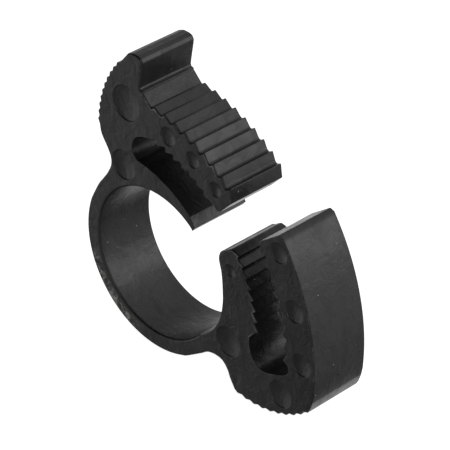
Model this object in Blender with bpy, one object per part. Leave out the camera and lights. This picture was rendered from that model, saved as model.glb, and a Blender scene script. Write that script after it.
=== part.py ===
"""Ratchet hose clip, moulded in one piece from black nylon, in its open state.

The clip stands on its ring and on its lower jaw. +Z is up, the hose runs along Y, and the jaws
open towards +X +Z. Every solid is an outline in the XZ plane, in millimetres from the bore's
centre, drawn across the clip's width. The 0.3 mm gaps stand where the one moulding bends or where
one of its working regions ends.
"""

import math

import bmesh
import bpy
from mathutils import Vector

# ---- Driving dimensions, in millimetres and degrees ----------------------------------------------
WIDTH = 10.0
CHAMFER = 0.2  # round the front and back faces
GAP = 0.3  # between neighbouring solids
ARC_STEP = 3.0  # degrees between the points of an arc
KNUCKLE_STEP = 12.0  # the same, round a bending point

BORE_R = 11.8
BAND_R = 14.3
BORE = (0.0, 0.0)
OPEN_DIR = 45.0  # the way the ring is open
BACK_HALF = 20.0  # the middle of the ring's back, which twists at its ends
FLEX_SPAN = 52.0  # from the middle of the ring's back to each bending point
NECK_UPPER = 136.0  # where the band ends and a jaw begins, round the bore
NECK_LOWER = 310.0
NECK_UPPER_R = 14.6  # the band starts to swell here
SWELL_START = 146.0

TEETH_BACK = 4.3  # the ratchet arcs' centres, behind the bore's centre
TEETH_SIDE = 0.62  # and to their own jaw's side
PITCH = 4.15  # one ratchet tooth
STEEP = 0.9  # its locking face

# Each nose, the rounded end of a toothed piece, is (radius, angle) about its own ratchet centre.
ARM_NOSE = ((23.45, 50.9), (23.4, 47.1), (23.9, 46.1), (27.0, 46.1), (27.45, 46.9))
ARM_TEETH = 9
ARM_FIRST_TIP = 49.5
ARM_TIP_R = 28.55
ARM_ROOT_R = (27.6, 27.95)  # the teeth get shallower towards the lug
ARM_INNER_TEETH = 7
ARM_INNER_FIRST_TIP = 54.15
ARM_INNER_TIP_R = 22.85
ARM_INNER_ROOT_R = 23.6
ARM_CUT_X = -2.3  # the arm grows from the upper block here
ARM_ROOT_Z = 19.95
ARM_TOP_Z = 26.95

LIP_END = 49.8
LIP_TIP = (8.18, 9.72)
LIP_BACK_R = (17.35, 18.3)  # the lip's back swells towards its root
LIP_BACK_SPAN = (52.2, 90.0)
LIP_BACK_STEPS = 12
LIP_CUT_X = -3.5
LIP_ROOT_Z = 15.7

GUARD_BACK_END = 35.4
GUARD_NOSE = ((33.3, 36.0), (29.65, 36.0), (29.15, 35.1))
GUARD_TEETH = 9
GUARD_LAST_TIP = 32.5
GUARD_TIP_R = 28.6
GUARD_ROOT_R = 29.35
GUARD_BACK = (-2.5, -3.8)
GUARD_BACK_R = 33.9
GUARD_CUT_Z = -5.1  # the guard grows from the lower block here

TONGUE_NOSE = ((22.1, 34.9), (21.5, 36.0), (20.4, 36.2), (19.3, 35.2), (18.7, 33.6))
TONGUE_TEETH = 8
TONGUE_LAST_TIP = 32.6
TONGUE_TIP_R = 22.7
TONGUE_ROOT_R = 22.0
TONGUE_FRONT = ((13.2, 6.1), (13.5, 3.9), (13.63, 0.9), (13.4, -1.5))  # its bore side, downwards
TONGUE_CUT_Z = -3.3
TONGUE_FOOT = ((12.66, -4.0), (11.95, -5.1), (11.0, -6.2), (10.0, -7.1))  # where it curls into the ring

UPPER_HOLLOW = ((-4.15, 16.4), (-4.35, 17.3), (-4.2, 18.3), (-3.6, 19.3))  # the slot's rounded end
UPPER_WAIST = (
    (-10.9, 17.3), (-10.5, 16.5), (-9.6, 15.0), (-9.05, 13.9), (-8.9, 13.0), (-9.2, 12.0)
)
LOWER_BULB = ((26.0, -5.9), (24.0, -6.9), (21.7, -7.6), (20.1, -7.1), (19.1, -6.0))
LOWER_WAIST = (
    (10.1, -10.25), (11.0, -9.9), (12.3, -9.75), (13.5, -9.95), (14.5, -10.95), (15.05, -12.3)
)
LOWER_TOE = ((31.05, -8.2), (31.3, -7.0))

LUG_CUT_Z = 27.6
LUG_FACE = ((-2.5, 28.5), (-2.1, 30.8), (-2.0, 31.65))  # leans back over the arm
LUG_TOP = ((-2.35, 32.2), (-3.0, 32.4), (-4.0, 32.4), (-4.95, 32.05))
PAD_RIB = 0.28  # height of a grip pad's ribs
UPPER_PAD = (6.39, 18.17)
UPPER_PAD_R = 17.58
LUG_PAD_SPAN = (137.5, 144.5)
BLOCK_PAD_SPAN = (147.0, 179.0)
LUG_RIBS = 2
UPPER_RIBS = 8
LOWER_PAD = (19.42, 2.29)
LOWER_PAD_R = 16.25
LOWER_PAD_SPAN = (-102.5, -46.5)
LOWER_RIBS = 10

MARK_DEPTH = 0.15  # ejector-pin marks in the front face
MARK_SIDES = 28
MARKS = {
    "upper_jaw_block": [(-5.4, 24.0, 2.7), (-6.2, 13.7, 2.3)],
    "toothed_arm": [(3.0, 22.3, 1.5), (8.0, 20.8, 1.4), (12.3, 17.9, 1.3)],
    "guard_shroud": [(24.4, 13.2, 1.6), (27.4, 5.2, 1.7), (28.9, -2.9, 1.75)],
    "lower_jaw_block": [(25.0, -9.8, 2.1), (14.7, -6.1, 2.3)],
    "toothed_tongue": [(14.9, 6.0, 1.0)],
}

# ---- Derived -------------------------------------------------------------------------------------
MM = 0.001
HALF_GAP = GAP / 2
BAND_MID_R = (BORE_R + BAND_R) / 2
KNUCKLE_R = (BAND_R - BORE_R) / 2
CUP_R = KNUCKLE_R + GAP
CUP_HALF = math.degrees(math.acos(KNUCKLE_R / CUP_R))
CUP_REACH = math.sqrt(CUP_R**2 - KNUCKLE_R**2)
BACK_DIR = OPEN_DIR + 180.0
FLEX_UPPER = BACK_DIR - FLEX_SPAN
FLEX_LOWER = BACK_DIR + FLEX_SPAN
HALF_GAP_TURN = math.degrees(HALF_GAP / BAND_MID_R)
ORIGIN_X = (GUARD_BACK[0] + GUARD_BACK_R - BAND_R) / 2  # the middle of the clip's length
ORIGIN_Z = -BAND_R  # the floor under the ring


def polar(centre, radius, angle):
    turn = math.radians(angle)
    return (centre[0] + radius * math.cos(turn), centre[1] + radius * math.sin(turn))


def arc(centre, radius, start, end, step=ARC_STEP):
    count = max(2, math.ceil(abs(end - start) / step))
    return [polar(centre, radius, start + (end - start) * i / count) for i in range(count + 1)]


def teeth_centre(side):
    """Centre of one jaw's ratchet arcs: side is +1 for the upper jaw and -1 for the lower."""
    back = polar(BORE, TEETH_BACK, BACK_DIR)
    return polar(back, TEETH_SIDE, OPEN_DIR + 90.0 * side)


def ribs(centre, radius, start, end, count):
    """A grip pad: V-shaped ribs standing on an arc."""
    points = [polar(centre, radius, start)]
    for i in range(count):
        ridge = start + (end - start) * (i + 0.5) / count
        groove = start + (end - start) * (i + 1) / count
        points.append(polar(centre, radius + PAD_RIB, ridge))
        points.append(polar(centre, radius, groove))
    return points


UPPER_C = teeth_centre(1)
LOWER_C = teeth_centre(-1)
UPPER_PIVOT = polar(BORE, BAND_MID_R, FLEX_UPPER)
LOWER_PIVOT = polar(BORE, BAND_MID_R, FLEX_LOWER)


# ---- Outlines ------------------------------------------------------------------------------------
def band_back():
    start = BACK_DIR - BACK_HALF + HALF_GAP_TURN
    end = BACK_DIR + BACK_HALF - HALF_GAP_TURN
    return arc(BORE, BAND_R, start, end) + arc(BORE, BORE_R, end, start)


def band_upper():
    end = BACK_DIR - BACK_HALF - HALF_GAP_TURN
    knuckle = arc(UPPER_PIVOT, KNUCKLE_R, FLEX_UPPER - 180.0, FLEX_UPPER, KNUCKLE_STEP)
    return arc(BORE, BAND_R, FLEX_UPPER, end)[1:] + arc(BORE, BORE_R, end, FLEX_UPPER)[:-1] + knuckle


def band_lower():
    start = BACK_DIR + BACK_HALF + HALF_GAP_TURN
    knuckle = arc(LOWER_PIVOT, KNUCKLE_R, FLEX_LOWER, FLEX_LOWER + 180.0, KNUCKLE_STEP)
    return arc(BORE, BAND_R, start, FLEX_LOWER)[:-1] + knuckle + arc(BORE, BORE_R, FLEX_LOWER, start)[1:]


def cup(pivot, start, end):
    """The hollow that a knuckle turns in."""
    return arc(pivot, CUP_R, start, end, KNUCKLE_STEP)


def neck_upper():
    outer_lip = FLEX_UPPER - math.degrees(CUP_REACH / BAND_R)
    inner_lip = FLEX_UPPER - math.degrees(CUP_REACH / BORE_R)
    neck = NECK_UPPER + HALF_GAP_TURN
    return (
        [polar(BORE, NECK_UPPER_R, neck)]
        + arc(BORE, BAND_R, SWELL_START, outer_lip)[:-1]
        + cup(UPPER_PIVOT, FLEX_UPPER - CUP_HALF, FLEX_UPPER - 180.0 + CUP_HALF)
        + arc(BORE, BORE_R, inner_lip, neck)[1:]
    )


def neck_lower():
    outer_lip = FLEX_LOWER + math.degrees(CUP_REACH / BAND_R)
    inner_lip = FLEX_LOWER + math.degrees(CUP_REACH / BORE_R)
    neck = NECK_LOWER - HALF_GAP_TURN
    return (
        arc(BORE, BAND_R, outer_lip, neck)[1:]
        + arc(BORE, BORE_R, neck, inner_lip)[:-1]
        + cup(LOWER_PIVOT, FLEX_LOWER + 180.0 - CUP_HALF, FLEX_LOWER + CUP_HALF)
    )


def upper_jaw_block():
    neck = NECK_UPPER - HALF_GAP_TURN
    cut_x = LIP_CUT_X - HALF_GAP
    lip_root = math.degrees(math.acos(cut_x / BORE_R))
    arm_x = ARM_CUT_X - HALF_GAP
    return (
        arc(BORE, BORE_R, neck, lip_root)
        + [(cut_x, LIP_ROOT_Z)]
        + list(UPPER_HOLLOW)
        + [(arm_x, ARM_ROOT_Z), (arm_x, LUG_CUT_Z - HALF_GAP)]
        + ribs(UPPER_PAD, UPPER_PAD_R, *BLOCK_PAD_SPAN, UPPER_RIBS)
        + list(UPPER_WAIST)
        + [polar(BORE, NECK_UPPER_R, neck)]
    )


def stop_lug():
    base = LUG_CUT_Z + HALF_GAP
    return (
        [(-2.68, base)]
        + list(LUG_FACE)
        + list(LUG_TOP)
        + ribs(UPPER_PAD, UPPER_PAD_R, *LUG_PAD_SPAN, LUG_RIBS)
        + [(-7.95, base)]
    )


def toothed_arm():
    cut_x = ARM_CUT_X + HALF_GAP
    points = [(cut_x, ARM_ROOT_Z), (-1.0, 20.2)]
    for i in reversed(range(ARM_INNER_TEETH)):
        tip = ARM_INNER_FIRST_TIP + PITCH * i
        points.append(polar(UPPER_C, ARM_INNER_ROOT_R, tip + STEEP))
        points.append(polar(UPPER_C, ARM_INNER_TIP_R, tip))
    points += [polar(UPPER_C, radius, angle) for radius, angle in ARM_NOSE]
    for i in range(ARM_TEETH):
        tip = ARM_FIRST_TIP + PITCH * i
        root = ARM_ROOT_R[0] + (ARM_ROOT_R[1] - ARM_ROOT_R[0]) * i / (ARM_TEETH - 1)
        points.append(polar(UPPER_C, ARM_TIP_R, tip))
        points.append(polar(UPPER_C, root, tip + STEEP))
    return points + [(cut_x, ARM_TOP_Z)]


def inner_lip():
    cut_x = LIP_CUT_X + HALF_GAP
    root = math.degrees(math.acos(cut_x / BORE_R))
    points = arc(BORE, BORE_R, root, LIP_END) + [LIP_TIP]
    start, end = LIP_BACK_SPAN
    for i in range(LIP_BACK_STEPS):
        part = i / LIP_BACK_STEPS
        radius = LIP_BACK_R[0] + (LIP_BACK_R[1] - LIP_BACK_R[0]) * part
        points.append(polar(UPPER_C, radius, start + (end - start) * part))
    return points + [(cut_x, LIP_ROOT_Z)]


def lower_jaw_block():
    neck = NECK_LOWER - 360.0 + HALF_GAP_TURN
    tongue_z = TONGUE_CUT_Z - HALF_GAP
    guard_z = GUARD_CUT_Z - HALF_GAP
    return (
        [(18.8, tongue_z), (12.95, tongue_z)]
        + list(TONGUE_FOOT)
        + arc(BORE, BORE_R, -43.0, neck)
        + [polar(BORE, BAND_R, neck)]
        + list(LOWER_WAIST)
        + ribs(LOWER_PAD, LOWER_PAD_R, *LOWER_PAD_SPAN, LOWER_RIBS)
        + list(LOWER_TOE)
        + [(GUARD_BACK[0] + GUARD_BACK_R, guard_z), (26.4, guard_z)]
        + list(LOWER_BULB)
    )


def toothed_tongue():
    base = TONGUE_CUT_Z + HALF_GAP
    points = [(18.85, base)]
    for i in reversed(range(TONGUE_TEETH)):
        tip = TONGUE_LAST_TIP - PITCH * i
        points.append(polar(LOWER_C, TONGUE_ROOT_R, tip - STEEP))
        points.append(polar(LOWER_C, TONGUE_TIP_R, tip))
    points += [polar(LOWER_C, radius, angle) for radius, angle in TONGUE_NOSE]
    return points + list(TONGUE_FRONT) + [(13.02, base)]


def guard_shroud():
    base = GUARD_CUT_Z + HALF_GAP
    front = math.degrees(math.asin((base - GUARD_BACK[1]) / GUARD_BACK_R))
    points = arc(GUARD_BACK, GUARD_BACK_R, front, GUARD_BACK_END)
    points += [polar(LOWER_C, radius, angle) for radius, angle in GUARD_NOSE]
    for i in range(GUARD_TEETH):
        tip = GUARD_LAST_TIP - PITCH * i
        points.append(polar(LOWER_C, GUARD_TIP_R, tip))
        points.append(polar(LOWER_C, GUARD_ROOT_R, tip - STEEP))
    return points + [(26.45, base)]


# ---- Solids --------------------------------------------------------------------------------------
def area_of(points):
    ends = zip(points, points[1:] + points[:1])
    return sum(ax * bz - bx * az for (ax, az), (bx, bz) in ends) / 2


def inset(points, amount):
    """The outline moved inwards, with its sharpest corners held back."""
    moved = []
    for i, point in enumerate(points):
        here = Vector(point)
        before = (here - Vector(points[i - 1])).normalized()
        after = (Vector(points[(i + 1) % len(points)]) - here).normalized()
        normal_a = Vector((-before.y, before.x))
        normal_b = Vector((-after.y, after.x))
        mitre = (normal_a + normal_b) / max(1.0 + normal_a.dot(normal_b), 0.5)
        moved.append(here + mitre * amount)
    return moved


def material(name):
    made = bpy.data.materials.new(name)
    made.use_nodes = True
    shader = made.node_tree.nodes["Principled BSDF"]
    shader.inputs["Base Color"].default_value = (0.018, 0.018, 0.02, 1.0)
    shader.inputs["Roughness"].default_value = 0.42
    return made


def solid(name, points, pivot, home):
    """An outline drawn across the width, chamfered front and back, with its origin at pivot."""
    if area_of(points) < 0:
        points = points[::-1]
    half = WIDTH / 2
    small = inset(points, CHAMFER)
    layers = [(-half, small), (CHAMFER - half, points), (half - CHAMFER, points), (half, small)]
    build = bmesh.new()
    rings = []
    for depth, ring in layers:
        rings.append(
            [
                build.verts.new(((x - pivot[0]) * MM, depth * MM, (z - pivot[1]) * MM))
                for x, z in ring
            ]
        )
    for front, back in zip(rings, rings[1:]):
        for i in range(len(points)):
            j = (i + 1) % len(points)
            build.faces.new((front[i], front[j], back[j], back[i]))
    build.faces.new(rings[0][::-1])
    build.faces.new(rings[-1])
    bmesh.ops.recalc_face_normals(build, faces=build.faces)
    mesh = bpy.data.meshes.new(name)
    build.to_mesh(mesh)
    build.free()
    made = bpy.data.objects.new(name, mesh)
    made.location = ((pivot[0] - ORIGIN_X) * MM, 0.0, (pivot[1] - ORIGIN_Z) * MM)
    made.data.materials.append(material(name + "_nylon"))
    home.objects.link(made)
    return made


def mark(target, x, z, radius, home):
    """A shallow round ejector-pin mark in the front face."""
    name = f"cut_{target.name}_{len(target.modifiers)}"
    build = bmesh.new()
    bmesh.ops.create_cone(
        build,
        cap_ends=True,
        segments=MARK_SIDES,
        radius1=radius * MM,
        radius2=radius * MM,
        depth=2 * MARK_DEPTH * MM,
    )
    for vert in build.verts:
        vert.co = Vector((vert.co.x, -vert.co.z, vert.co.y))
    bmesh.ops.recalc_face_normals(build, faces=build.faces)
    mesh = bpy.data.meshes.new(name)
    build.to_mesh(mesh)
    build.free()
    cutter = bpy.data.objects.new(name, mesh)
    cutter.location = ((x - ORIGIN_X) * MM, -WIDTH / 2 * MM, (z - ORIGIN_Z) * MM)
    cutter.hide_render = True
    cutter.display_type = "WIRE"
    home.objects.link(cutter)
    cut = target.modifiers.new(name, "BOOLEAN")
    cut.operation = "DIFFERENCE"
    cut.solver = "EXACT"
    cut.object = cutter


def collection(name):
    made = bpy.data.collections.new(name)
    bpy.context.scene.collection.children.link(made)
    return made


for old in list(bpy.data.objects):
    bpy.data.objects.remove(old, do_unlink=True)

clip = collection("ratchet_hose_clip")
cutters = collection("clip_cutters")
PIECES = [
    (band_back, BORE),
    (band_upper, polar(BORE, BAND_MID_R, BACK_DIR - BACK_HALF)),
    (band_lower, polar(BORE, BAND_MID_R, BACK_DIR + BACK_HALF)),
    (neck_upper, UPPER_PIVOT),
    (upper_jaw_block, UPPER_PIVOT),
    (stop_lug, UPPER_PIVOT),
    (toothed_arm, UPPER_PIVOT),
    (inner_lip, UPPER_PIVOT),
    (neck_lower, LOWER_PIVOT),
    (lower_jaw_block, LOWER_PIVOT),
    (toothed_tongue, LOWER_PIVOT),
    (guard_shroud, LOWER_PIVOT),
]
for outline, pivot in PIECES:
    piece = solid(outline.__name__, outline(), pivot, clip)
    for x, z, radius in MARKS.get(piece.name, []):
        mark(piece, x, z, radius, cutters)
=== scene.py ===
"""Ratchet hose clip: the finished nylon moulding, its material, light and camera.

Outlines are in the XZ plane, in millimetres from the bore's centre, as the clip's front face shows
them. Each is drawn across the clip's width with every edge rounded.
"""

import math

import bmesh
import bpy
import numpy as np
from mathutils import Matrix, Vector
from mathutils.geometry import delaunay_2d_cdt


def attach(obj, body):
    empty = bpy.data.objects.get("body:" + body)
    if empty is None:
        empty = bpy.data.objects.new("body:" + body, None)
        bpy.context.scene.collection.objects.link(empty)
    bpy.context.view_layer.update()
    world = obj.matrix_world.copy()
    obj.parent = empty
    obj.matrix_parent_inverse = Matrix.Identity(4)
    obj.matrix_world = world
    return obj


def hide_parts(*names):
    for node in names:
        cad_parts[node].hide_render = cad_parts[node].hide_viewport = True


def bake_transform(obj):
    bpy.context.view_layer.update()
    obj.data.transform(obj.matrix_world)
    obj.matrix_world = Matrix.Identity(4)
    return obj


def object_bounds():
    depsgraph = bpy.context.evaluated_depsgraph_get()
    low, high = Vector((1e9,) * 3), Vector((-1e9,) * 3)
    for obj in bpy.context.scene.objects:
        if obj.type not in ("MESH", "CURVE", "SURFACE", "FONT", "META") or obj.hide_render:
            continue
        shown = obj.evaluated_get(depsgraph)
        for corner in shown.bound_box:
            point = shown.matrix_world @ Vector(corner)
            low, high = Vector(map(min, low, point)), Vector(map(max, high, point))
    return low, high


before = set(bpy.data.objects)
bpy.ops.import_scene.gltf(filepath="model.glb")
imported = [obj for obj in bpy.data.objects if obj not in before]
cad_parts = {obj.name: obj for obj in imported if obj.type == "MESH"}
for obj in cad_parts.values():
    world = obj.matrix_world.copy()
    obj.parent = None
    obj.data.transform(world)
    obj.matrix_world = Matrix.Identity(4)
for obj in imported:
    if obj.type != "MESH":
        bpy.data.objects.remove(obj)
CAD_LOW, CAD_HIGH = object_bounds()

MM = 0.001
HALF_W = (CAD_HIGH.y - CAD_LOW.y) / 2 / MM
BORE_R = 11.8
BAND_R = 14.3
BORE = (0.0, 0.0)
BORE_X = -(CAD_LOW.x / MM + BAND_R)  # the row frame's origin, from the bore's centre
BORE_Z = -(CAD_LOW.z / MM + BAND_R)

BACK_DIR = 225.0
MIDDLE_HALF = 3.0  # the stretch of band that stays with the ring's back
TWIST_HALF = 38.0  # the band's twist pieces run from there to here
FLEX_HALF = 66.0  # and its flex pieces from here to here, at each jaw's seam

# The ratchet arcs' centres: 4.3 behind the bore's centre, and 0.62 to their own jaw's side.
UPPER_C = (-3.4790, -2.6022)
LOWER_C = (-2.6022, -3.4790)
PITCH = 4.15  # one ratchet tooth
STEEP = 0.9  # its locking face

# Each nose, the rounded end of a toothed piece, is (radius, angle, corner) about its own centre.
ARM_NOSE = (
    (23.4, 50.9, 0.3), (23.38, 47.1, 0.3), (23.95, 46.1, 0.3), (27.0, 46.1, 0.2), (27.45, 46.9, 0.3)
)
ARM_TEETH = 9
ARM_FIRST_TIP = 49.5
ARM_TIP_R = 28.55
ARM_ROOT_R = (27.6, 27.95)  # the teeth get shallower towards the lug
ARM_INNER_TEETH = 7
ARM_INNER_FIRST_TIP = 54.15
ARM_INNER_TIP_R = 22.85
ARM_INNER_ROOT_R = 23.6
LIP_END = 49.8
LIP_TIP = (8.18, 9.72)
LIP_BACK_R = (17.35, 18.3)  # the lip's back swells towards its root
LIP_BACK_SPAN = (52.2, 90.0)
LIP_STEPS = 22

GUARD_BACK_START = -3.0
GUARD_BACK_END = 35.4
GUARD_NOSE = ((33.3, 36.0, 0.3), (29.05, 36.0, 0.3), (28.55, 35.1, 0.3))
GUARD_TEETH = 9
GUARD_LAST_TIP = 32.5
GUARD_TIP_R = 28.05
GUARD_ROOT_R = 28.85
GUARD_BACK = (-2.5, -3.8)
GUARD_BACK_R = 33.9
TONGUE_TEETH = 8
TONGUE_LAST_TIP = 33.05
TONGUE_TIP_R = 23.2
TONGUE_ROOT_R = 22.5
TONGUE_NOSE = ((22.6, 34.9, 0.2), (22.1, 36.2, 0.5), (21.2, 36.3, 0.0))
TONGUE_FRONT = (
    (14.0, 8.72), (13.35, 8.4), (12.98, 7.75), (12.87, 6.95), (13.05, 6.1), (13.3, 5.2),
    (13.5, 3.77), (13.6, 2.1), (13.63, 0.43), (13.4, -1.5), (12.8, -3.6), (11.6, -5.6),
    (10.15, -7.05)
)
TONGUE_RING_START = -43.0  # where the tongue's front has run into the bore

# The stretches that no arc describes: points on a smooth curve, or corners (x, z, rounding).
UPPER_HOLLOW = (
    (-3.45, 15.72), (-4.15, 16.4), (-4.38, 17.3), (-4.2, 18.3), (-3.6, 19.25), (-2.45, 19.9),
    (-1.0, 20.2), (0.0, 20.35)
)
LUG_FOOT = ((-2.05, 26.86, 0.1), (-2.1, 27.15, 0.1), (-2.55, 27.25))
LUG = (
    (-2.65, 27.55, 0.2), (-2.5, 28.5, 1.0), (-2.1, 30.8, 0.6), (-2.0, 31.65, 0.4),
    (-2.35, 32.2, 0.4), (-3.0, 32.4, 0.3), (-4.0, 32.4, 0.6), (-4.95, 32.05, 0.6)
)
UPPER_WAIST = (
    (-10.95, 17.2), (-10.5, 16.3), (-9.6, 15.0), (-9.05, 13.9), (-8.95, 12.9), (-9.2, 12.0),
    (-10.0, 10.55), (-11.0, 9.2)
)
LOWER_WAIST = (
    (10.1, -10.27), (11.05, -9.86), (12.3, -9.72), (13.5, -10.0), (14.45, -11.0), (15.0, -12.2)
)
LOWER_TOE = ((31.05, -8.2, 0.5), (31.28, -7.0, 1.0))
LOWER_BULB = (
    (26.7, -4.0), (26.45, -4.9), (26.2, -5.75), (25.3, -6.4), (24.0, -6.95), (21.9, -7.6),
    (20.4, -7.3), (19.3, -6.2), (18.85, -4.7), (18.85, -3.4), (19.1, -2.6)
)
UPPER_SWELL = 146.0  # where each waist leaves the ring's outside
LOWER_SWELL = -49.5
STEER = 5.0  # a curve that meets the ring is steered by the ring this far on

CREST = 0.1  # rounding of the teeth's crests
VALLEY = 0.4  # and of the valleys between them

PAD_RIB = 0.28  # height of a grip pad's ribs
RIB_CREST = 0.12  # rounding of their crests
RIB_VALLEY = 0.08  # and of the valleys between them
UPPER_PAD = (6.39, 18.17)
UPPER_PAD_R = 17.58
UPPER_PAD_SPAN = (137.5, 179.0)
UPPER_RIBS = 10
LOWER_PAD = (19.42, 2.29)
LOWER_PAD_R = 16.25
LOWER_PAD_SPAN = (-102.5, -46.5)
LOWER_RIBS = 10

EDGE = 0.1  # rounding of the front and back edges
RING_EDGE = 0.3
TEETH_EDGE = 0.32
BACK_EDGE = 0.15
PAD_EDGE = 0.2
LUG_EDGE = 0.3
EDGE_STEPS = 4
CORNER_STEP = 22.0
CORNER_LEAST = 8.0  # a corner that turns less than this isn't rounded
CORNER_SHARE = 0.45  # and none takes up more than this much of a side
MARK_DEPTH = 0.14  # of a recess's rim
MARK_BOWL = 0.2  # and of the hollow of its floor
MARK_SIDES = 40
LONG_SIDE = 0.6  # a side longer than this keeps its own normal
ARC_STEP = 1.5
BAND_STEP = 1.0
PARALLEL = 0.04  # sides whose directions cross by less are taken as one line
POINT_MERGE = 1e-5
VERT_MERGE = 2e-7  # metres

FLASH_DIR = 224.0  # the middle of the rough flash on the ring's outer edge
FLASH_R = 14.0
FLASH_REACH = 7.5

# The studio's light: soft white regions, each a direction, the cosines where it begins and peaks,
# and its strength. Those behind the clip stand on a cone about +Y, at an angle from +X towards +Z.
# Most strengths started from a least-squares fit to the photo's brightness and were then adjusted.
CONE = 0.588  # their Y
BACK_GLOWS = (
    (5, 0.9, 0.995, 0.36),
    (26, 0.93, 0.998, 1.9),
    (38, 0.93, 0.998, 0.55),
    (60, 0.85, 0.99, 0.45),
    (85, 0.75, 0.98, 0.26),
    (115, 0.75, 0.98, 0.27),
    (180, 0.75, 0.98, 0.48),
    (212, 0.85, 0.98, 0.2),
    (245, 0.75, 0.98, 1.1),
    (340, 0.85, 0.99, 0.42),
)
GLOWS = (
    ((0.0, 1.0, 0.0), 0.3, 0.95, 0.27),
    ((-0.6, -0.588, -0.542), 0.3, 0.95, 0.14),
    ((-0.85, -0.45, -0.28), 0.88, 0.99, 0.7),
    ((0.75, -0.65, 0.0), 0.2, 0.9, 0.4),
    ((0.46, -0.8, 0.34), 0.98, 0.998, 2.5),
)

UPPER_MARKS = [
    (-5.4, 24.0, 2.75),
    (-6.2, 13.7, 2.35),
    (3.0, 22.2, 1.5),
    (7.85, 20.6, 1.3),
    (12.2, 17.8, 1.2),
]
LOWER_MARKS = [
    (24.4, 13.2, 1.6),
    (27.4, 5.2, 1.75),
    (28.9, -2.9, 1.8),
    (25.0, -9.8, 2.15),
    (14.7, -6.1, 2.4),
    (15.15, 6.0, 1.0),
]


# ---- Outlines ------------------------------------------------------------------------------------
def polar(centre, radius, angle):
    turn = math.radians(angle)
    return (centre[0] + radius * math.cos(turn), centre[1] + radius * math.sin(turn))


def arc(centre, radius, start, end, step=ARC_STEP):
    count = max(2, math.ceil(abs(end - start) / step))
    return [polar(centre, radius, start + (end - start) * i / count) for i in range(count + 1)]


def flowing(points, steps=6):
    """A smooth curve from the second point to the last but one; the end points only steer it."""
    curve = []
    for a, b, c, d in zip(points, points[1:], points[2:], points[3:]):
        for i in range(steps):
            t = i / steps
            curve.append(
                tuple(
                    0.5
                    * (
                        2 * q
                        + (r - p) * t
                        + (2 * p - 5 * q + 4 * r - s) * t * t
                        + (3 * q - p - 3 * r + s) * t**3
                    )
                    for p, q, r, s in zip(a, b, c, d)
                )
            )
    return curve + [tuple(points[-2])]


def rounded(corners):
    """Corners (x, z, radius) as points, each corner turned on an arc where its sides leave room."""
    points = []
    count = len(corners)
    for i, corner in enumerate(corners):
        here = Vector(corner[:2])
        radius = corner[2] if len(corner) > 2 else 0.0
        before = Vector(corners[i - 1][:2]) - here
        after = Vector(corners[(i + 1) % count][:2]) - here
        if radius <= 0.0 or before.length < 1e-6 or after.length < 1e-6:
            points.append(tuple(here))
            continue
        opening = before.angle(after)
        room = CORNER_SHARE * min(before.length, after.length)
        reach = min(radius / math.tan(opening / 2), room)
        radius = reach * math.tan(opening / 2)
        turn = math.pi - opening
        if turn < math.radians(CORNER_LEAST):
            points.append(tuple(here))
            continue
        u = before.normalized()
        v = after.normalized()
        centre = here + (u + v).normalized() * radius / math.sin(opening / 2)
        first = here + u * reach - centre
        last = here + v * reach - centre
        steps = max(2, math.ceil(math.degrees(turn) / CORNER_STEP))
        for k in range(steps + 1):
            w = k / steps
            spoke = first * (1 - w) + last * w
            points.append(tuple(centre + spoke.normalized() * radius))
    return points


def edged(points, edge):
    """Each point with the rounding that the front and back edges have there."""
    return [(x, z, edge) for x, z in rounded_open(points)]


def rounded_open(points):
    """rounded() for a stretch of outline: its two end points stay where they are."""
    ghost_a = (*points[0][:2], 0.0)
    ghost_b = (*points[-1][:2], 0.0)
    return rounded([ghost_a] + [tuple(p) for p in points[1:-1]] + [ghost_b])


def ribs(centre, radius, start, end, count):
    """A grip pad: blunt ribs standing on an arc."""
    points = [(*polar(centre, radius, start), 0.0)]
    for i in range(count):
        step = (end - start) / count
        ridge = start + step * (i + 0.5)
        points.append((*polar(centre, radius + PAD_RIB, ridge), RIB_CREST))
        points.append((*polar(centre, radius, start + step * (i + 1)), RIB_VALLEY))
    return points


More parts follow.
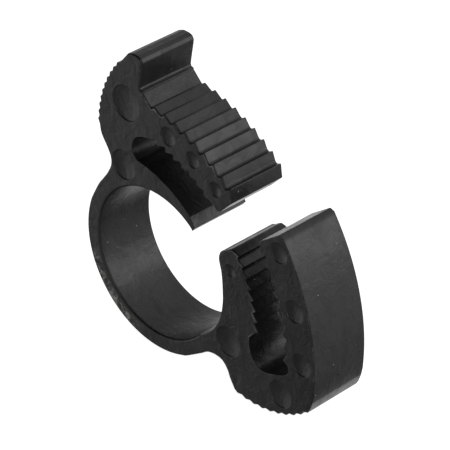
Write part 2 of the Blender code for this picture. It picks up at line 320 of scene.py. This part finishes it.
def upper_outline():
    seam = BACK_DIR - FLEX_HALF
    ring = arc(BORE, BORE_R, seam, LIP_END)
    lip = [ring[-1], (*LIP_TIP, 0.14)]
    start, end = LIP_BACK_SPAN
    back = []
    for i in range(LIP_STEPS):
        radius = LIP_BACK_R[0] + (LIP_BACK_R[1] - LIP_BACK_R[0]) * i / LIP_STEPS
        back.append(polar(UPPER_C, radius, start + (end - start) * i / LIP_STEPS))
    lip += [(*back[0], 0.12)] + back[1:]
    hollow = flowing([*back[-2:], *UPPER_HOLLOW], 4)
    arm = [hollow[-1]]
    for i in reversed(range(ARM_INNER_TEETH)):
        tip = ARM_INNER_FIRST_TIP + PITCH * i
        arm.append((*polar(UPPER_C, ARM_INNER_ROOT_R, tip + STEEP), VALLEY / 2))
        arm.append((*polar(UPPER_C, ARM_INNER_TIP_R, tip), CREST))
    arm += [(*polar(UPPER_C, radius, angle), corner) for radius, angle, corner in ARM_NOSE]
    outer = [arm[-1]]
    for i in range(ARM_TEETH):
        tip = ARM_FIRST_TIP + PITCH * i
        root = ARM_ROOT_R[0] + (ARM_ROOT_R[1] - ARM_ROOT_R[0]) * i / (ARM_TEETH - 1)
        outer.append((*polar(UPPER_C, ARM_TIP_R, tip), CREST))
        outer.append((*polar(UPPER_C, root, tip + STEEP), VALLEY))
    outer += LUG_FOOT
    pad = ribs(UPPER_PAD, UPPER_PAD_R, *UPPER_PAD_SPAN, UPPER_RIBS)
    lug = [LUG_FOOT[-1], *LUG, pad[0]]
    on_ring = [polar(BORE, BAND_R, angle) for angle in (UPPER_SWELL, seam, seam + STEER)]
    waist = flowing([pad[-2][:2], pad[-1][:2], *UPPER_WAIST, *on_ring], 5)
    return (
        edged(ring, RING_EDGE)[:-1]
        + edged(lip, EDGE)[:-1]
        + edged(hollow, EDGE)[:-1]
        + edged(arm, EDGE)[:-1]
        + edged(outer, TEETH_EDGE)[:-1]
        + edged(lug, LUG_EDGE)[:-1]
        + edged(pad, PAD_EDGE)[:-1]
        + edged(waist, RING_EDGE)
    )


def lower_outline():
    seam = BACK_DIR + FLEX_HALF - 360.0
    pad = ribs(LOWER_PAD, LOWER_PAD_R, *LOWER_PAD_SPAN, LOWER_RIBS)
    angles = (seam - STEER, seam, seam + STEER, LOWER_SWELL)
    on_ring = [polar(BORE, BAND_R, angle) for angle in angles]
    waist = flowing([*on_ring, *LOWER_WAIST, pad[0][:2], pad[1][:2]], 5)
    back = arc(GUARD_BACK, GUARD_BACK_R, GUARD_BACK_START, GUARD_BACK_END)
    toe = [pad[-1], *LOWER_TOE, back[0]]
    end = [back[-1]]
    end += [(*polar(LOWER_C, radius, angle), corner) for radius, angle, corner in GUARD_NOSE]
    for i in range(GUARD_TEETH):
        tip = GUARD_LAST_TIP - PITCH * i
        end.append((*polar(LOWER_C, GUARD_TIP_R, tip), CREST))
        end.append((*polar(LOWER_C, GUARD_ROOT_R, tip - STEEP), VALLEY / 2))
    end.append(LOWER_BULB[1])
    bulb = flowing(LOWER_BULB, 5)
    tongue = [bulb[-1]]
    for i in reversed(range(TONGUE_TEETH)):
        tip = TONGUE_LAST_TIP - PITCH * i
        tongue.append((*polar(LOWER_C, TONGUE_ROOT_R, tip - STEEP), VALLEY / 2))
        tongue.append((*polar(LOWER_C, TONGUE_TIP_R, tip), CREST))
    tongue += [(*polar(LOWER_C, radius, angle), corner) for radius, angle, corner in TONGUE_NOSE]
    ring = arc(BORE, BORE_R, TONGUE_RING_START, seam)
    front = flowing([tongue[-1][:2], *TONGUE_FRONT, *ring[:2]], 4)
    tongue.append(front[0])
    return (
        edged(waist, RING_EDGE)[:-1]
        + edged(pad, PAD_EDGE)[:-1]
        + edged(toe, PAD_EDGE)[:-1]
        + edged(back, BACK_EDGE)[:-1]
        + edged(end, EDGE)[:-1]
        + edged(bulb, EDGE)[:-1]
        + edged(tongue, TEETH_EDGE)[:-1]
        + edged(front, EDGE)[:-1]
        + edged(ring, RING_EDGE)
    )


def band_outline(start, end):
    outer = [(x, z, RING_EDGE) for x, z in arc(BORE, BAND_R, start, end, BAND_STEP)]
    inner = [(x, z, RING_EDGE) for x, z in arc(BORE, BORE_R, end, start, BAND_STEP)]
    return outer + inner


# ---- Meshes --------------------------------------------------------------------------------------
def offset(points, amounts):
    """The outline moved inwards, each side by its own amount; a side too short for it is closed."""
    here = np.array(points)
    count = len(here)
    side = np.roll(here, -1, axis=0) - here
    side /= np.maximum(np.linalg.norm(side, axis=1), 1e-9)[:, None]
    normal = np.stack([-side[:, 1], side[:, 0]], axis=1)

    def corner(before, first, last, after):
        """Where side before, which ends at vertex first, meets side after, which starts at last."""
        na = normal[before]
        nb = normal[after]
        reach_a = na @ here[first] + amounts[before]
        reach_b = nb @ here[last] + amounts[after]
        cross = na[0] * nb[1] - na[1] * nb[0]
        if abs(cross) < PARALLEL:
            middle = (here[first] + here[last]) / 2
            return middle + (na * amounts[before] + nb * amounts[after]) / 2
        x = (reach_a * nb[1] - reach_b * na[1]) / cross
        z = (reach_b * na[0] - reach_a * nb[0]) / cross
        return np.array([x, z])

    closed = np.zeros(count, bool)
    while True:
        moved = here.copy()
        for i in range(count):
            if closed[i - 1]:
                continue
            last = i
            while closed[last % count]:
                last += 1
            spot = corner((i - 1) % count, i, last % count, last % count)
            for k in range(i, last + 1):
                moved[k % count] = spot
        now = np.roll(moved, -1, axis=0) - moved
        crossed = ~closed & ((now * side).sum(axis=1) < 0.0)
        if not crossed.any():
            return moved
        closed |= crossed


def side_normals(xz):
    """Outward normals of an outline's corners, led by the longer of the two sides."""
    side = np.roll(xz, -1, axis=0) - xz
    length = np.linalg.norm(side, axis=1)
    out = np.stack([side[:, 1], -side[:, 0]], axis=1)
    out /= np.maximum(length, 1e-9)[:, None]
    reach = np.minimum(length, LONG_SIDE)[:, None] ** 2
    mean = out * reach + np.roll(out * reach, 1, axis=0)
    return mean / np.maximum(np.linalg.norm(mean, axis=1), 1e-9)[:, None]


def dish(x, z, radius):
    """A round ejector-pin recess, from its rim inwards: rings of (points, depth, slope)."""
    floor = radius - 0.2
    profile = [
        (radius + 0.06, 0.0, 0.0),
        (radius, 0.03, 0.7),
        (radius - 0.08, MARK_DEPTH * 0.6, 1.0),
        (radius - 0.14, MARK_DEPTH * 0.95, 0.6),
    ]
    for part in (1.0, 0.8, 0.6, 0.4, 0.2):
        bowl = MARK_DEPTH + MARK_BOWL * (1.0 - part * part)
        profile.append((floor * part, bowl, 2.0 * MARK_BOWL / floor))
    turns = [360.0 * k / MARK_SIDES for k in range(MARK_SIDES)]
    return [([polar((x, z), r, t) for t in turns], depth, slope) for r, depth, slope in profile]


def extrude(name, outline, seams=(), marks=()):
    """An outline of (x, z, edge rounding) drawn across the width; seams are its sides that meet
    the next piece, and marks are round recesses in its front face."""
    xz = np.array([p[:2] for p in outline])
    edge = np.array([p[2] for p in outline])
    area = (xz[:, 0] * np.roll(xz[:, 1], -1) - np.roll(xz[:, 0], -1) * xz[:, 1]).sum()
    amounts = (edge + np.roll(edge, -1)) / 2
    for i in seams:
        amounts[i] = 0.0
    if area < 0:
        xz = xz[::-1]
        edge = edge[::-1]
        amounts = np.roll(amounts[::-1], -1)
    count = len(xz)
    out = side_normals(xz)
    for i in np.nonzero(amounts == 0.0)[0]:
        out[i] = xz[i] - xz[i - 1]
        out[i] = (out[i][1], -out[i][0]) / np.linalg.norm(out[i])
        j = (i + 1) % count
        out[j] = xz[(j + 1) % count] - xz[j]
        out[j] = (out[j][1], -out[j][0]) / np.linalg.norm(out[j])
    build = bmesh.new()
    shade = build.verts.layers.float_vector.new("shade")
    # rim: where the pale edge line goes, a painted highlight on the rounded edges with some flash
    rim = build.verts.layers.float.new("rim")

    def vert(x, y, z, normal, glint_and_flash=0.0):
        new = build.verts.new(((x - BORE_X) * MM, y * MM, (z - BORE_Z) * MM))
        new[shade] = normal
        new[rim] = glint_and_flash
        return new

    rings = []
    for sign in (-1.0, 1.0):
        steps = range(EDGE_STEPS + 1)
        for k in steps if sign > 0 else reversed(steps):
            turn = math.radians(90.0 * k / EDGE_STEPS)
            ring = offset(xz, amounts * (1.0 - math.cos(turn)))
            depth = sign * (HALF_W - edge * (1.0 - math.sin(turn)))
            across = math.cos(turn)
            # The step next to each front and back edge carries the pale line: a painted edge
            # highlight, partly flash.
            glint_and_flash = 1.0 if k == EDGE_STEPS - 1 else 0.0
            rings.append(
                [
                    vert(x, y, z, (nx * across, sign * math.sin(turn), nz * across), glint_and_flash * sharp)
                    for (x, z), y, (nx, nz), sharp in zip(ring, depth, out, edge != RING_EDGE)
                ]
            )
    for front, back in zip(rings, rings[1:]):
        for i in range(count):
            j = (i + 1) % count
            build.faces.new((front[i], front[j], back[j], back[i]))
    build.faces.new(rings[-1])

    # The front face, with a hole for each recess.
    loops = [rings[0]]
    for x, z, radius in marks:
        dishes = []
        for points, depth, slope in dish(x, z, radius):
            ring = []
            for px, pz in points:
                lean = Vector(((x - px) * slope, -radius, (z - pz) * slope)).normalized()
                ring.append(vert(px, depth - HALF_W, pz, lean))
            dishes.append(ring)
        for a, b in zip(dishes, dishes[1:]):
            for k in range(MARK_SIDES):
                m = (k + 1) % MARK_SIDES
                build.faces.new((a[k], a[m], b[m], b[k]))
        middle = vert(x, depth - HALF_W, z, (0.0, -1.0, 0.0))
        for k in range(MARK_SIDES):
            build.faces.new((dishes[-1][k], dishes[-1][(k + 1) % MARK_SIDES], middle))
        loops.append(dishes[0])
    verts = [v for loop in loops for v in loop]
    flat = [Vector((v.co.x, v.co.z)) / MM for v in verts]
    faces = []
    first = 0
    for loop in loops:
        faces.append(list(range(first, first + len(loop))))
        first += len(loop)
    found = delaunay_2d_cdt(flat, [], faces, 1, POINT_MERGE, True)
    level = verts[0].co.y / MM
    source = []
    for point, origin in zip(found[0], found[3]):
        here = (point.x + BORE_X, level, point.y + BORE_Z)
        source.append(verts[origin[0]] if origin else vert(*here, (0.0, -1.0, 0.0)))
    for face, origin in zip(found[2], found[5]):
        if origin == [0]:
            corners = [source[i] for i in face]
            if len(set(corners)) == 3:
                build.faces.new(corners)
    bmesh.ops.remove_doubles(build, verts=build.verts, dist=VERT_MERGE)
    bmesh.ops.recalc_face_normals(build, faces=build.faces)
    normals = [tuple(v[shade]) for v in build.verts]
    build.verts.layers.float_vector.remove(build.verts.layers.float_vector["shade"])
    for face in build.faces:
        face.smooth = True
    mesh = bpy.data.meshes.new(name)
    build.to_mesh(mesh)
    build.free()
    mesh.normals_split_custom_set_from_vertices(normals)
    made = bpy.data.objects.new(name, mesh)
    bpy.context.scene.collection.objects.link(made)
    return made


# ---- Material ------------------------------------------------------------------------------------
def black_nylon():
    made = bpy.data.materials.new("black_nylon")
    made.use_nodes = True
    tree = made.node_tree
    link = tree.links.new
    shader = tree.nodes["Principled BSDF"]
    factor_in, under_in, over_in, colour_out = 0, 6, 7, 2  # a colour mix node's sockets

    def node(kind, **values):
        new = tree.nodes.new(kind)
        for key, value in values.items():
            if key in new.inputs:
                new.inputs[key].default_value = value
            else:
                setattr(new, key, value)
        return new

    place = node("ShaderNodeTexCoord").outputs["Object"]

    def noise(**values):
        new = node("ShaderNodeTexNoise", **values)
        link(place, new.inputs["Vector"])
        return new.outputs["Fac"]

    def ramp(value, begins, full, low=0.0, high=1.0):
        """A factor that goes from low to high as the value goes from begins to full."""
        new = node("ShaderNodeMapRange")
        new.inputs["From Min"].default_value = begins
        new.inputs["From Max"].default_value = full
        new.inputs["To Min"].default_value = low
        new.inputs["To Max"].default_value = high
        link(value, new.inputs["Value"])
        return new.outputs["Result"]

    def times(a, b):
        new = node("ShaderNodeMath", operation="MULTIPLY")
        link(a, new.inputs[0])
        link(b, new.inputs[1])
        return new.outputs["Value"]

    def painted(under, over, factor):
        """The colour under, with the colour over laid on it as far as the factor says."""
        new = node("ShaderNodeMix", data_type="RGBA")
        new.inputs[over_in].default_value = over
        link(factor, new.inputs[factor_in])
        link(under, new.inputs[under_in])
        return new.outputs[colour_out]

    def bumped(height, under, **values):
        """Relief on top of the relief under it."""
        new = node("ShaderNodeBump", **values)
        link(height, new.inputs["Height"])
        if under:
            link(under, new.inputs["Normal"])
        return new

    # Colour: a cloudy black, with a few pale specks of dust and scuffing.
    cloud = noise(Scale=160.0, Detail=5.0, Roughness=0.6)
    base = node("ShaderNodeMix", data_type="RGBA")
    base.inputs[under_in].default_value = (0.0070, 0.0071, 0.0078, 1.0)
    base.inputs[over_in].default_value = (0.0270, 0.0270, 0.0275, 1.0)
    link(ramp(cloud, 0.3, 0.7), base.inputs[factor_in])
    dust = node("ShaderNodeTexVoronoi", Scale=900.0, Randomness=1.0)
    link(place, dust.inputs["Vector"])
    speck = times(
        ramp(dust.outputs["Distance"], 0.09, 0.06), ramp(dust.outputs["Color"], 0.74, 0.76)
    )
    colour = painted(base.outputs[colour_out], (0.45, 0.45, 0.43, 1.0), speck)

    # A pale, broken line along the edges of the front and back faces: partly flash, partly a
    # painted highlight where the rounded edges catch the light.
    rim = node("ShaderNodeAttribute", attribute_name="rim")
    breaks = noise(Scale=330.0, Detail=4.0, Roughness=0.7)
    glint_and_flash = times(rim.outputs["Fac"], ramp(breaks, 0.45, 0.62))
    colour = painted(colour, (0.26, 0.26, 0.25, 1.0), glint_and_flash)

    # Rough flash along the ring's outer front edge, low on the left: near its middle, outside the
    # band's own middle and close to the front face.
    flat = node("ShaderNodeVectorMath", operation="MULTIPLY")
    flat.inputs[1].default_value = (1.0, 0.0, 1.0)
    link(place, flat.inputs[0])

    def away(centre):
        new = node("ShaderNodeVectorMath", operation="DISTANCE")
        new.inputs[1].default_value = ((centre[0] - BORE_X) * MM, 0.0, (centre[1] - BORE_Z) * MM)
        link(flat.outputs["Vector"], new.inputs[0])
        return new.outputs["Value"]

    axes = node("ShaderNodeSeparateXYZ")
    link(place, axes.inputs[0])
    near = ramp(away(polar(BORE, FLASH_R, FLASH_DIR)), FLASH_REACH * MM, 0.6 * FLASH_REACH * MM)
    outside = ramp(away(BORE), 12.3 * MM, 13.0 * MM)
    in_front = ramp(axes.outputs["Y"], (0.5 - HALF_W) * MM, (0.1 - HALF_W) * MM)
    rough = times(times(near, outside), in_front)
    crumbs = noise(Scale=1500.0, Detail=3.0, Roughness=0.7)
    colour = painted(colour, (0.36, 0.36, 0.33, 1.0), times(ramp(crumbs, 0.44, 0.6), rough))
    link(colour, shader.inputs["Base Color"])

    # Gloss: satin, uneven at the scale of the melt's flow.
    flow = noise(Scale=420.0, Detail=4.0, Roughness=0.6, Distortion=0.6)
    link(ramp(flow, 0.3, 0.7, 0.29, 0.4), shader.inputs["Roughness"])
    shader.inputs["IOR"].default_value = 1.5

    # Relief: the mould's fine texture, faint sink marks over it, and the flash's crust.
    grain = noise(Scale=5200.0, Detail=3.0, Roughness=0.55)
    fine = bumped(grain, None, Strength=0.25, Distance=0.00002)
    broad = bumped(flow, fine.outputs["Normal"], Strength=0.6, Distance=0.00022)
    crust = bumped(crumbs, broad.outputs["Normal"], Distance=0.0003)
    link(rough, crust.inputs["Strength"])
    link(crust.outputs["Normal"], shader.inputs["Normal"])
    return made


# ---- The clip ------------------------------------------------------------------------------------
nylon = black_nylon()


def finish_piece(piece, *replaced):
    piece.data.materials.append(nylon)
    if replaced:
        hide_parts(*replaced)


def jaw(name, outline, marks, body, *replaced):
    piece = extrude(name, outline, (len(outline) - 1,), marks)
    finish_piece(piece, *replaced)
    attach(piece, body)


def band(name, start, end, *replaced):
    outline = band_outline(start, end)
    half = len(outline) // 2
    piece = extrude(name, outline, seams=(half - 1, len(outline) - 1))
    finish_piece(piece, *replaced)
    return piece


jaw(
    "jaw_upper",
    upper_outline(),
    UPPER_MARKS,
    "upper_jaw",
    "neck_upper",
    "upper_jaw_block",
    "stop_lug",
    "toothed_arm",
    "inner_lip",
)
jaw(
    "jaw_lower",
    lower_outline(),
    LOWER_MARKS,
    "lower_jaw",
    "neck_lower",
    "lower_jaw_block",
    "toothed_tongue",
    "guard_shroud",
)
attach(band("ring_back", BACK_DIR - MIDDLE_HALF, BACK_DIR + MIDDLE_HALF, "band_back"), "band_back")
for side, label in ((-1.0, "upper"), (1.0, "lower")):
    near = BACK_DIR + side * MIDDLE_HALF
    mid = BACK_DIR + side * TWIST_HALF
    far = BACK_DIR + side * FLEX_HALF
    twist = band("ring_twist_" + label, near, mid, "band_" + label)
    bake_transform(twist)
    flex = band("ring_flex_" + label, mid, far)
    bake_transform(flex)

# ---- Floor, light and camera ---------------------------------------------------------------------
FLOOR_HALF = 1.5  # metres
FLOOR_GAP = 0.00005  # it lies just under the clip
FLOOR_GLOW = 0.92
AZIMUTH = 45.591
ELEVATION = 32.808
DISTANCE = 0.3817
LENS = 219.7
SENSOR = 36.0
TARGET = Vector(((9.032 - BORE_X) * MM, 0.0, (8.441 - BORE_Z) * MM))

scene = bpy.context.scene
scene.view_settings.view_transform = "Standard"

floor_mesh = bpy.data.meshes.new("floor")
square = ((-1, -1), (1, -1), (1, 1), (-1, 1))
floor_corners = [(FLOOR_HALF * x, FLOOR_HALF * y, 0) for x, y in square]
floor_mesh.from_pydata(floor_corners, [], [(0, 1, 2, 3)])
floor = bpy.data.objects.new("floor", floor_mesh)
floor.location.z = CAD_LOW.z - FLOOR_GAP
scene.collection.objects.link(floor)
paper = bpy.data.materials.new("paper")
paper.use_nodes = True
paper_shader = paper.node_tree.nodes["Principled BSDF"]
paper_shader.inputs["Base Color"].default_value = (0.9, 0.9, 0.9, 1.0)
paper_shader.inputs["Roughness"].default_value = 1.0
paper_shader.inputs["Specular IOR Level"].default_value = 0.0
paper_shader.inputs["Emission Color"].default_value = (1.0, 1.0, 1.0, 1.0)
paper_shader.inputs["Emission Strength"].default_value = FLOOR_GLOW
floor_mesh.materials.append(paper)
floor.visible_glossy = False
floor.visible_diffuse = False

world = bpy.data.worlds.new("studio")
scene.world = world
world.use_nodes = True
tree = world.node_tree
background = tree.nodes["Background"]
background.inputs["Color"].default_value = (1.0, 1.0, 1.0, 1.0)
place = tree.nodes.new("ShaderNodeTexCoord")


def glow(direction, begins, peaks, strength, others):
    """Adds a soft white region of the studio to the others."""
    toward = tree.nodes.new("ShaderNodeVectorMath")
    toward.operation = "DOT_PRODUCT"
    toward.inputs[1].default_value = Vector(direction).normalized()
    tree.links.new(place.outputs["Generated"], toward.inputs[0])
    ramp = tree.nodes.new("ShaderNodeMapRange")
    ramp.interpolation_type = "SMOOTHSTEP"
    ramp.inputs["From Min"].default_value = begins
    ramp.inputs["From Max"].default_value = peaks
    ramp.inputs["To Max"].default_value = strength
    tree.links.new(toward.outputs["Value"], ramp.inputs["Value"])
    total = tree.nodes.new("ShaderNodeMath")
    total.operation = "ADD"
    total.inputs[0].default_value = 0.0
    tree.links.new(ramp.outputs["Result"], total.inputs[1])
    if others:
        tree.links.new(others.outputs["Value"], total.inputs[0])
    return total


studio = None
across = math.sqrt(1.0 - CONE**2)
for angle, begins, peaks, strength in BACK_GLOWS:
    x, z = polar(BORE, across, angle)
    studio = glow((x, CONE, z), begins, peaks, strength, studio)
for direction, begins, peaks, strength in GLOWS:
    studio = glow(direction, begins, peaks, strength, studio)
tree.links.new(studio.outputs["Value"], background.inputs["Strength"])

turn = math.radians(AZIMUTH)
tilt = math.radians(ELEVATION)
away = Vector((math.sin(turn) * math.cos(tilt), -math.cos(turn) * math.cos(tilt), math.sin(tilt)))
lens = bpy.data.cameras.new("camera")
lens.lens = LENS
lens.sensor_width = SENSOR
camera = bpy.data.objects.new("camera", lens)
camera.location = TARGET + away * DISTANCE
camera.rotation_mode = "QUATERNION"
camera.rotation_quaternion = away.to_track_quat("Z", "Y")
scene.collection.objects.link(camera)
scene.camera = camera

bpy.context.view_layer.update()
